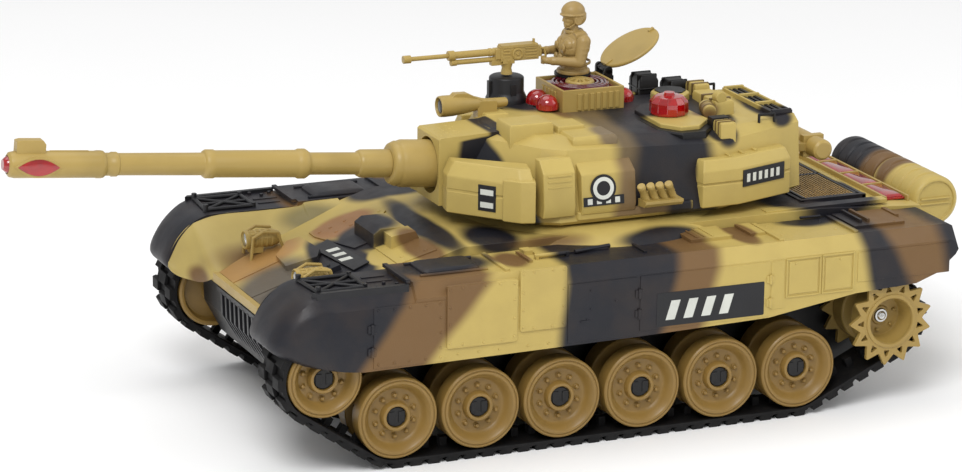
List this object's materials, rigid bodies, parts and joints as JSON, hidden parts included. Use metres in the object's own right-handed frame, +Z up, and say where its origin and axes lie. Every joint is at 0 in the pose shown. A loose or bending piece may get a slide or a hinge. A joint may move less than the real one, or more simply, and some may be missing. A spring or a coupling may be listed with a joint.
{
  "type": "rc tank",
  "caption": "Radio-controlled battle tank with driven tracks, dished wheels, turning turret, elevating gun, hatch lid and a half-figure commander.",
  "frame": {"origin": "on the ground under the middle of the model's length and width", "axes": "gun points along -Y, the tank's left side faces +X, +Z up"},
  "size_m": [0.1844, 0.4626, 0.1777],
  "materials": {
    "camo_plastic": "sprayed sand, brown and slate camouflage, satin",
    "sand_plastic": "tan, satin",
    "black_plastic": "black, satin",
    "slate_plastic": "dark slate, satin",
    "track_rubber": "black, dull",
    "red_lens": "clear red, glossy",
    "purple_lens": "clear purple-red, glossy",
    "steel": "bright zinc plate",
    "circuit_board": "green, satin",
    "bronze_mesh": "dark bronze paint",
    "battery_wrap": "dark shrink wrap"
  },
  "bodies": {
    "hull": {"battery_door": "black_plastic", "battery_pack": "battery_wrap", "circuit_board": "circuit_board", "engine_grille": "bronze_mesh", "left_drive_motor": "steel", "left_fuel_drum": "camo_plastic", "left_gearbox": "slate_plastic", "left_headlight": "sand_plastic", "left_track": "track_rubber", "lower_hull": "black_plastic", "rear_light_strip": "red_lens", "right_drive_motor": "steel", "right_fuel_drum": "camo_plastic", "right_gearbox": "slate_plastic", "right_headlight": "sand_plastic", "right_track": "track_rubber", "speaker": "slate_plastic", "upper_hull": "camo_plastic"},
    "power_switch": {"power_switch": "black_plastic"},
    "left_sprocket": {"left_drive_sprocket": "sand_plastic", "left_drive_shaft": "steel"},
    "left_idler_wheel": {"left_idler_wheel": "sand_plastic"},
    "left_road_wheel_1": {"left_road_wheel_1": "sand_plastic"},
    "left_road_wheel_2": {"left_road_wheel_2": "sand_plastic"},
    "left_road_wheel_3": {"left_road_wheel_3": "sand_plastic"},
    "left_road_wheel_4": {"left_road_wheel_4": "sand_plastic"},
    "left_road_wheel_5": {"left_road_wheel_5": "sand_plastic"},
    "left_road_wheel_6": {"left_road_wheel_6": "sand_plastic"},
    "right_sprocket": {"right_drive_sprocket": "sand_plastic", "right_drive_shaft": "steel"},
    "right_idler_wheel": {"right_idler_wheel": "sand_plastic"},
    "right_road_wheel_1": {"right_road_wheel_1": "sand_plastic"},
    "right_road_wheel_2": {"right_road_wheel_2": "sand_plastic"},
    "right_road_wheel_3": {"right_road_wheel_3": "sand_plastic"},
    "right_road_wheel_4": {"right_road_wheel_4": "sand_plastic"},
    "right_road_wheel_5": {"right_road_wheel_5": "sand_plastic"},
    "right_road_wheel_6": {"right_road_wheel_6": "sand_plastic"},
    "gun": {"gun_mantlet": "sand_plastic", "gun_barrel": "sand_plastic", "muzzle_lens": "red_lens"},
    "machine_gun": {"machine_gun": "sand_plastic"},
    "hatch_lid": {"hatch_lid": "sand_plastic"},
    "turret": {"turret_shell": "camo_plastic", "turret_base": "black_plastic", "turret_motor": "slate_plastic", "left_smoke_launcher": "sand_plastic", "right_smoke_launcher": "sand_plastic", "signal_box": "sand_plastic", "light_ring": "purple_lens", "fan_cover": "sand_plastic", "hatch_hinge_block": "slate_plastic", "commander_figure": "sand_plastic", "searchlight": "sand_plastic", "snorkel_tube": "sand_plastic", "beacon_lens": "red_lens", "warning_dome_1": "red_lens", "warning_dome_2": "red_lens", "warning_dome_3": "red_lens", "machine_gun_pedestal": "slate_plastic"}
  },
  "joints": [
    {"name": "power_switch_slide", "type": "slide", "parent": "hull", "child": "power_switch", "axis": [0, 1, 0], "range_m": [0, 0.006]},
    {"name": "left_sprocket_spin", "type": "hinge", "parent": "hull", "child": "left_sprocket", "pos_m": [0.075, 0.171, 0.042], "axis": [1, 0, 0], "continuous": true},
    {"name": "left_idler_wheel_spin", "type": "hinge", "parent": "hull", "child": "left_idler_wheel", "pos_m": [0.074, -0.111, 0.0453], "axis": [1, 0, 0], "continuous": true},
    {"name": "left_road_wheel_1_spin", "type": "hinge", "parent": "hull", "child": "left_road_wheel_1", "pos_m": [0.074, -0.0765, 0.0236], "axis": [1, 0, 0], "continuous": true},
    {"name": "left_road_wheel_2_spin", "type": "hinge", "parent": "hull", "child": "left_road_wheel_2", "pos_m": [0.074, -0.0365, 0.0236], "axis": [1, 0, 0], "continuous": true},
    {"name": "left_road_wheel_3_spin", "type": "hinge", "parent": "hull", "child": "left_road_wheel_3", "pos_m": [0.074, 0.0035, 0.0236], "axis": [1, 0, 0], "continuous": true},
    {"name": "left_road_wheel_4_spin", "type": "hinge", "parent": "hull", "child": "left_road_wheel_4", "pos_m": [0.074, 0.0435, 0.0236], "axis": [1, 0, 0], "continuous": true},
    {"name": "left_road_wheel_5_spin", "type": "hinge", "parent": "hull", "child": "left_road_wheel_5", "pos_m": [0.074, 0.0835, 0.0236], "axis": [1, 0, 0], "continuous": true},
    {"name": "left_road_wheel_6_spin", "type": "hinge", "parent": "hull", "child": "left_road_wheel_6", "pos_m": [0.074, 0.1235, 0.0236], "axis": [1, 0, 0], "continuous": true},
    {"name": "right_sprocket_spin", "type": "hinge", "parent": "hull", "child": "right_sprocket", "pos_m": [-0.075, 0.171, 0.042], "axis": [1, 0, 0], "continuous": true},
    {"name": "right_idler_wheel_spin", "type": "hinge", "parent": "hull", "child": "right_idler_wheel", "pos_m": [-0.074, -0.111, 0.0453], "axis": [1, 0, 0], "continuous": true},
    {"name": "right_road_wheel_1_spin", "type": "hinge", "parent": "hull", "child": "right_road_wheel_1", "pos_m": [-0.074, -0.0765, 0.0236], "axis": [1, 0, 0], "continuous": true},
    {"name": "right_road_wheel_2_spin", "type": "hinge", "parent": "hull", "child": "right_road_wheel_2", "pos_m": [-0.074, -0.0365, 0.0236], "axis": [1, 0, 0], "continuous": true},
    {"name": "right_road_wheel_3_spin", "type": "hinge", "parent": "hull", "child": "right_road_wheel_3", "pos_m": [-0.074, 0.0035, 0.0236], "axis": [1, 0, 0], "continuous": true},
    {"name": "right_road_wheel_4_spin", "type": "hinge", "parent": "hull", "child": "right_road_wheel_4", "pos_m": [-0.074, 0.0435, 0.0236], "axis": [1, 0, 0], "continuous": true},
    {"name": "right_road_wheel_5_spin", "type": "hinge", "parent": "hull", "child": "right_road_wheel_5", "pos_m": [-0.074, 0.0835, 0.0236], "axis": [1, 0, 0], "continuous": true},
    {"name": "right_road_wheel_6_spin", "type": "hinge", "parent": "hull", "child": "right_road_wheel_6", "pos_m": [-0.074, 0.1235, 0.0236], "axis": [1, 0, 0], "continuous": true},
    {"name": "turret_traverse", "type": "hinge", "parent": "hull", "child": "turret", "pos_m": [0, 0.05, 0.09], "axis": [0, 0, 1], "range_deg": [-165, 165]},
    {"name": "gun_elevation", "type": "hinge", "parent": "turret", "child": "gun", "pos_m": [0, -0.02, 0.1142], "axis": [-1, 0, 0], "range_deg": [-7, 8]},
    {"name": "machine_gun_traverse", "type": "hinge", "parent": "turret", "child": "machine_gun", "pos_m": [-0.041, 0.03, 0.1434], "axis": [0, 0, 1], "range_deg": [-45, 45]},
    {"name": "hatch_lid_hinge", "type": "hinge", "parent": "turret", "child": "hatch_lid", "pos_m": [-0.042, 0.0815, 0.1418], "axis": [1, 0, 0], "range_deg": [-20, 60]}
  ],
  "couplings": [
    {"joint": "left_idler_wheel_spin", "follows": "left_sprocket_spin", "ratio": 0.9399},
    {"joint": "left_road_wheel_1_spin", "follows": "left_sprocket_spin", "ratio": 0.8721},
    {"joint": "left_road_wheel_2_spin", "follows": "left_sprocket_spin", "ratio": 0.8721},
    {"joint": "left_road_wheel_3_spin", "follows": "left_sprocket_spin", "ratio": 0.8721},
    {"joint": "left_road_wheel_4_spin", "follows": "left_sprocket_spin", "ratio": 0.8721},
    {"joint": "left_road_wheel_5_spin", "follows": "left_sprocket_spin", "ratio": 0.8721},
    {"joint": "left_road_wheel_6_spin", "follows": "left_sprocket_spin", "ratio": 0.8721},
    {"joint": "right_idler_wheel_spin", "follows": "right_sprocket_spin", "ratio": 0.9399},
    {"joint": "right_road_wheel_1_spin", "follows": "right_sprocket_spin", "ratio": 0.8721},
    {"joint": "right_road_wheel_2_spin", "follows": "right_sprocket_spin", "ratio": 0.8721},
    {"joint": "right_road_wheel_3_spin", "follows": "right_sprocket_spin", "ratio": 0.8721},
    {"joint": "right_road_wheel_4_spin", "follows": "right_sprocket_spin", "ratio": 0.8721},
    {"joint": "right_road_wheel_5_spin", "follows": "right_sprocket_spin", "ratio": 0.8721},
    {"joint": "right_road_wheel_6_spin", "follows": "right_sprocket_spin", "ratio": 0.8721}
  ]
}
